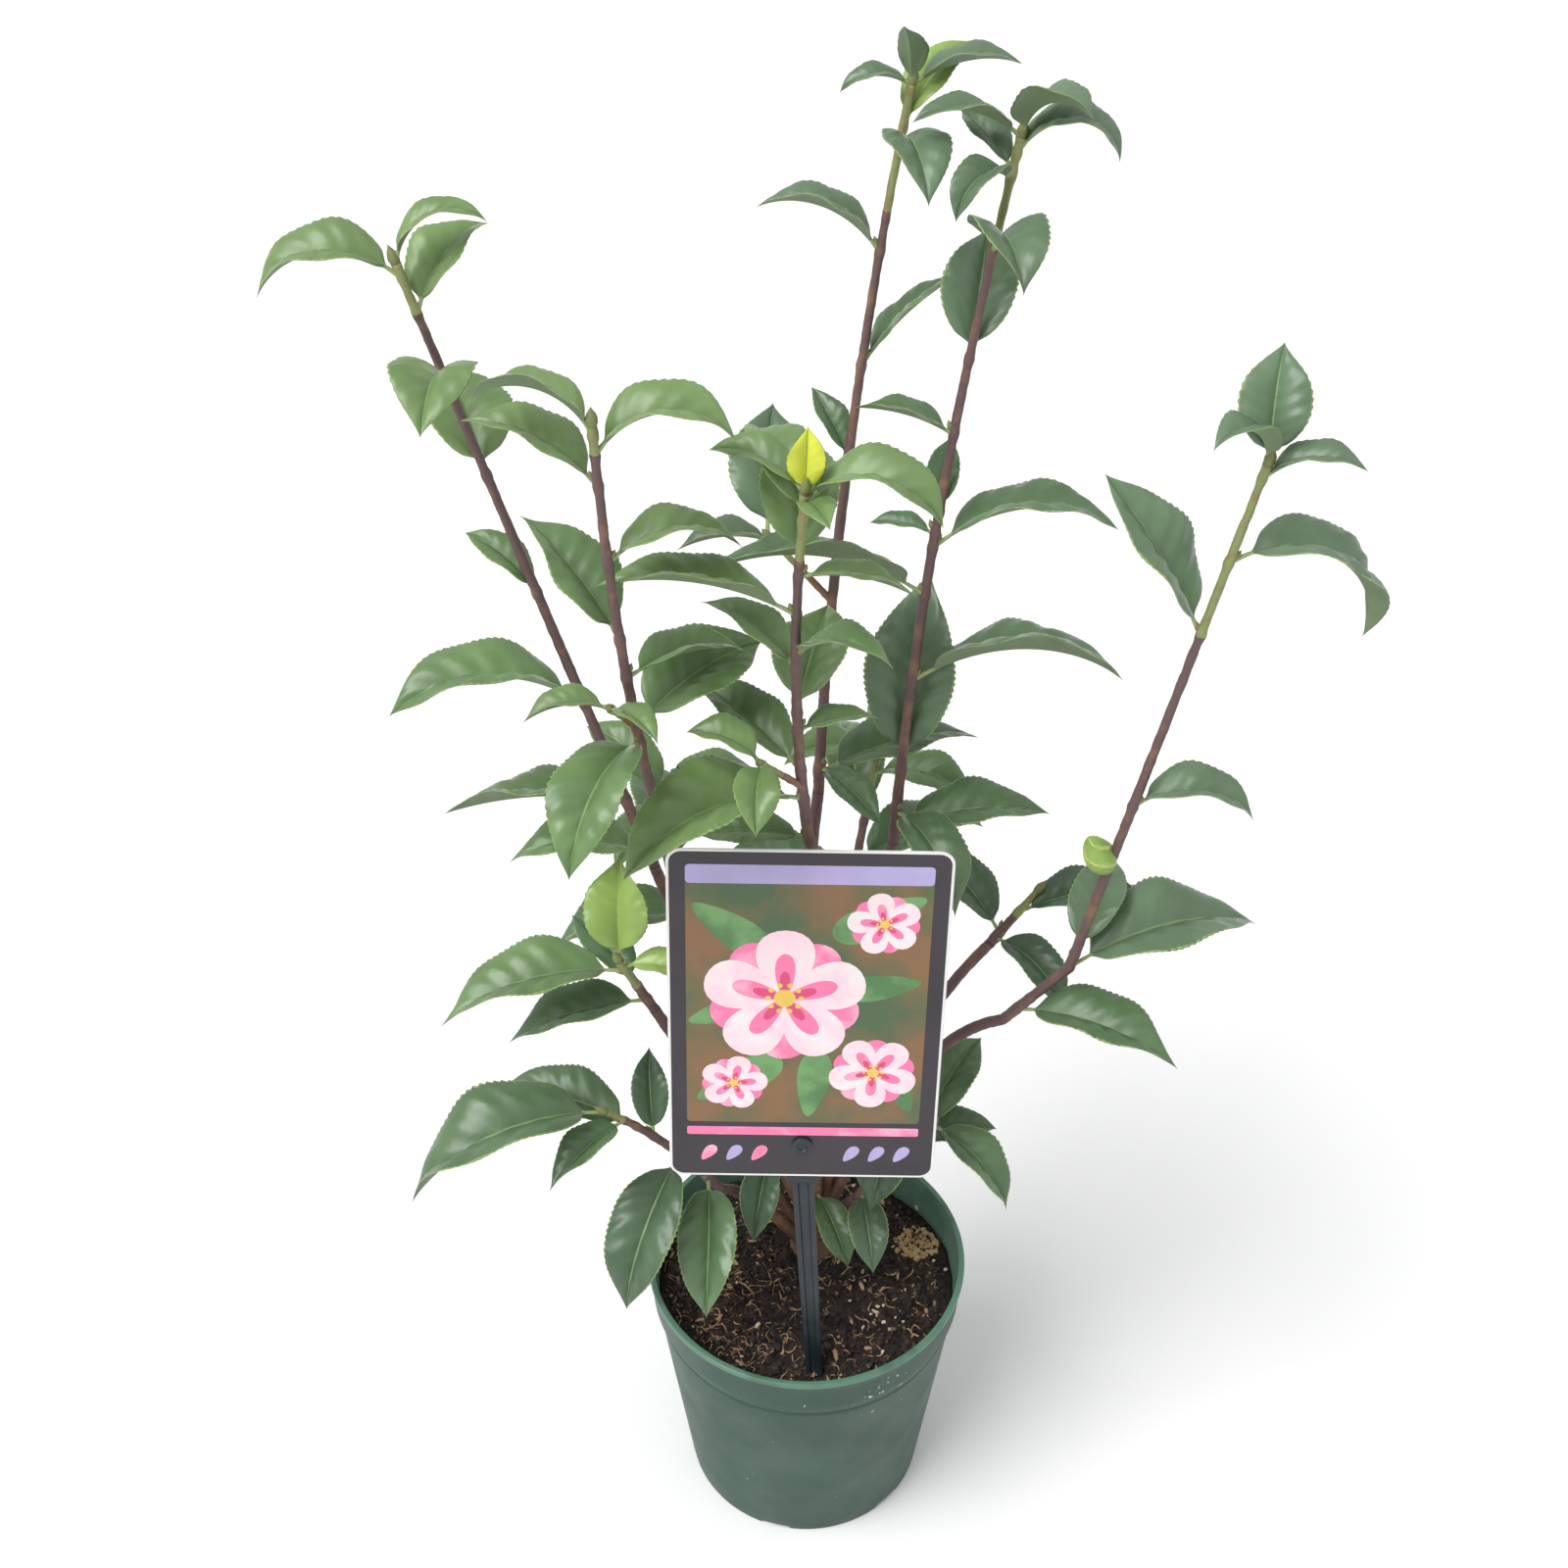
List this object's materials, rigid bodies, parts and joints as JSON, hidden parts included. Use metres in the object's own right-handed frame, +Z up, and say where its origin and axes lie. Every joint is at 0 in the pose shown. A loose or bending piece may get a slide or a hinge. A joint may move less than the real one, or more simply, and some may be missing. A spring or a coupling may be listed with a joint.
{
  "type": "potted camellia shrub",
  "caption": "Young camellia shrub with slender stems and glossy leaves, in a round plastic nursery pot with a plain picture label on a pin.",
  "frame": {"origin": "middle of the pot's flat underside, on the ground the pot stands on", "axes": "+Z up along the pot's axis, +Y to the back, -Y towards the front where the label stands, +X to the right seen from the front"},
  "size_m": [0.4371, 0.2519, 0.7815],
  "materials": {
    "pot_plastic": "moulded green polypropylene, satin, slightly scuffed, brighter on the lip",
    "potting_soil": "damp dark peat compost with tan fibres, wood chips and a mossy patch",
    "label_card": null,
    "label_pin": "dark slate moulded plastic",
    "bark": "thin smooth bark, purplish brown, orange brown near the forks, green at the youngest tips",
    "foliage": "leathery evergreen leaves, glossy above and paler below, yellow green midrib and margin"
  },
  "bodies": {
    "root": {"pot": "pot_plastic", "soil": "potting_soil", "label_card": "label_card", "label_pin": "label_pin", "short_stem": "bark", "bough_far_left": "bark", "bough_left": "bark", "bough_front": "bark", "bough_tall_back": "bark", "bough_tall_right": "bark", "bough_far_right": "bark", "bough_right_back": "bark", "bough_low_left": "bark", "bough_low_left_front": "bark", "bough_low_right": "bark", "bough_back": "bark", "bough_back_left": "bark", "foliage_far_left": "foliage", "foliage_left": "foliage", "foliage_front": "foliage", "foliage_tall_back": "foliage", "foliage_tall_right": "foliage", "foliage_far_right": "foliage", "foliage_right_back": "foliage", "foliage_low_left": "foliage", "foliage_low_left_front": "foliage", "foliage_low_right": "foliage", "foliage_back": "foliage", "foliage_back_left": "foliage"}
  },
  "joints": []
}
